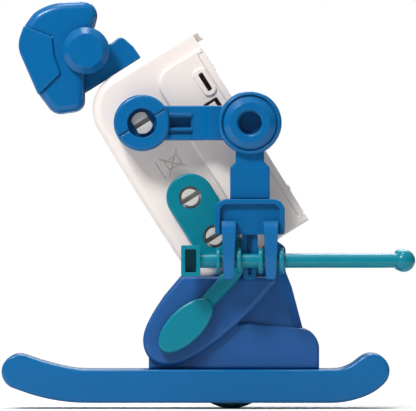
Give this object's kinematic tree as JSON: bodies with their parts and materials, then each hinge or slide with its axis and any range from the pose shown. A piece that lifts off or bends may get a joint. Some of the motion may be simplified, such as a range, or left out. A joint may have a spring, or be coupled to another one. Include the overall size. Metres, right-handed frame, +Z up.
{
  "type": "skiing toy robot",
  "caption": "Motorised toy robot on skis, leaning forward with cranked arms that swing a pole on each side, an enclosed motor and battery torso and a central wheel.",
  "frame": {"origin": "on the floor under the wheel's lowest point, at the middle of the bounding box in X and Y", "axes": "+Z up; the robot faces -X, so +X runs from its front to its back; +Y is its right-hand side"},
  "size_m": [0.1798, 0.1, 0.1775],
  "materials": {
    "white_plastic": "moulded white ABS, satin gloss",
    "blue_plastic": "moulded blue ABS, gloss",
    "teal_plastic": "moulded teal ABS, gloss",
    "pin_plastic": "light grey acetal",
    "switch_plastic": "dark warm grey plastic",
    "gear_plastic": "natural nylon",
    "steel": "plain zinc-plated steel",
    "brass": "turned brass",
    "contact_metal": "nickel-plated spring steel",
    "cell_wrap": "plain grey cell wrap, no markings"
  },
  "bodies": {
    "torso": {"motor_housing_left": "white_plastic", "motor_housing_right": "white_plastic", "housing_screws": "steel", "battery_cell_left": "cell_wrap", "battery_cell_right": "cell_wrap", "battery_contacts": "contact_metal", "switch_body": "switch_plastic", "motor_can": "steel", "gear_plate": "gear_plastic", "gear_axles": "steel", "neck_bracket": "blue_plastic", "wheel_axle": "steel", "hip_link_left": "teal_plastic", "hip_link_right": "teal_plastic", "hip_pins_left": "pin_plastic", "hip_pins_right": "pin_plastic", "leg_shell_left": "blue_plastic", "leg_shell_right": "blue_plastic", "leg_cover_left": "blue_plastic", "leg_cover_right": "blue_plastic", "boot_left": "blue_plastic", "boot_right": "blue_plastic", "ski_left": "blue_plastic", "ski_right": "blue_plastic", "ski_pins_left": "pin_plastic", "ski_pins_right": "pin_plastic"},
    "door": {"battery_door": "white_plastic", "door_screw": "steel"},
    "switch": {"power_switch": "switch_plastic"},
    "rotor": {"motor_rotor": "steel", "motor_pinion": "brass"},
    "gear_one": {"first_gear": "gear_plastic"},
    "gear_two": {"second_gear": "gear_plastic"},
    "drive": {"output_shaft": "pin_plastic", "upper_arm_left": "blue_plastic", "upper_arm_right": "blue_plastic", "elbow_cap_left": "blue_plastic", "elbow_cap_right": "blue_plastic"},
    "forearm_left": {"forearm_left": "blue_plastic", "hand_left": "blue_plastic"},
    "forearm_right": {"forearm_right": "blue_plastic", "hand_right": "blue_plastic"},
    "pole_left": {"ski_pole_left": "teal_plastic"},
    "pole_right": {"ski_pole_right": "teal_plastic"},
    "head": {"head_pin": "steel", "head_shell_left": "blue_plastic", "head_shell_right": "blue_plastic", "face_visor": "blue_plastic", "ear_disc_left": "blue_plastic", "ear_disc_right": "blue_plastic"},
    "wheel": {"wheel": "teal_plastic"}
  },
  "joints": [
    {"name": "arm_drive", "type": "hinge", "parent": "torso", "child": "drive", "pos_m": [-0.02892, 0, 0.12444], "axis": [0, 1, 0], "continuous": true},
    {"name": "second_gear_spin", "type": "hinge", "parent": "torso", "child": "gear_two", "pos_m": [-0.01922, 0, 0.11741], "axis": [0, 1, 0], "continuous": true},
    {"name": "first_gear_spin", "type": "hinge", "parent": "torso", "child": "gear_one", "pos_m": [-0.01715, 0, 0.10561], "axis": [0, 1, 0], "continuous": true},
    {"name": "motor_spin", "type": "hinge", "parent": "torso", "child": "rotor", "pos_m": [-0.00745, 0, 0.09858], "axis": [0, 1, 0], "continuous": true},
    {"name": "head_tilt", "type": "hinge", "parent": "torso", "child": "head", "pos_m": [-0.0534, 0, 0.156], "axis": [0, 1, 0], "range_deg": [-5, 30]},
    {"name": "door_hinge", "type": "hinge", "parent": "torso", "child": "door", "pos_m": [0.03994, 0, 0.08539], "axis": [0, 1, 0], "range_deg": [0, 90]},
    {"name": "switch_slide", "type": "slide", "parent": "torso", "child": "switch", "axis": [0, 1, 0], "range_m": [0, 0.004]},
    {"name": "wheel_spin", "type": "hinge", "parent": "torso", "child": "wheel", "pos_m": [0.01, 0, 0.01935], "axis": [0, 1, 0], "continuous": true},
    {"name": "elbow_left", "type": "hinge", "parent": "drive", "child": "forearm_left", "pos_m": [0.018, -0.0388, 0.1244], "axis": [0, 1, 0], "range_deg": [-90, 50]},
    {"name": "pole_spin_left", "type": "hinge", "parent": "forearm_left", "child": "pole_left", "pos_m": [0.018, -0.0435, 0.0645], "axis": [1, 0, 0], "continuous": true},
    {"name": "elbow_right", "type": "hinge", "parent": "drive", "child": "forearm_right", "pos_m": [0.018, 0.0388, 0.1244], "axis": [0, 1, 0], "range_deg": [-90, 50]},
    {"name": "pole_spin_right", "type": "hinge", "parent": "forearm_right", "child": "pole_right", "pos_m": [0.018, 0.0435, 0.0645], "axis": [1, 0, 0], "continuous": true}
  ],
  "couplings": [
    {"joint": "second_gear_spin", "follows": "arm_drive", "ratio": -3},
    {"joint": "first_gear_spin", "follows": "arm_drive", "ratio": 9},
    {"joint": "motor_spin", "follows": "arm_drive", "ratio": -27}
  ]
}
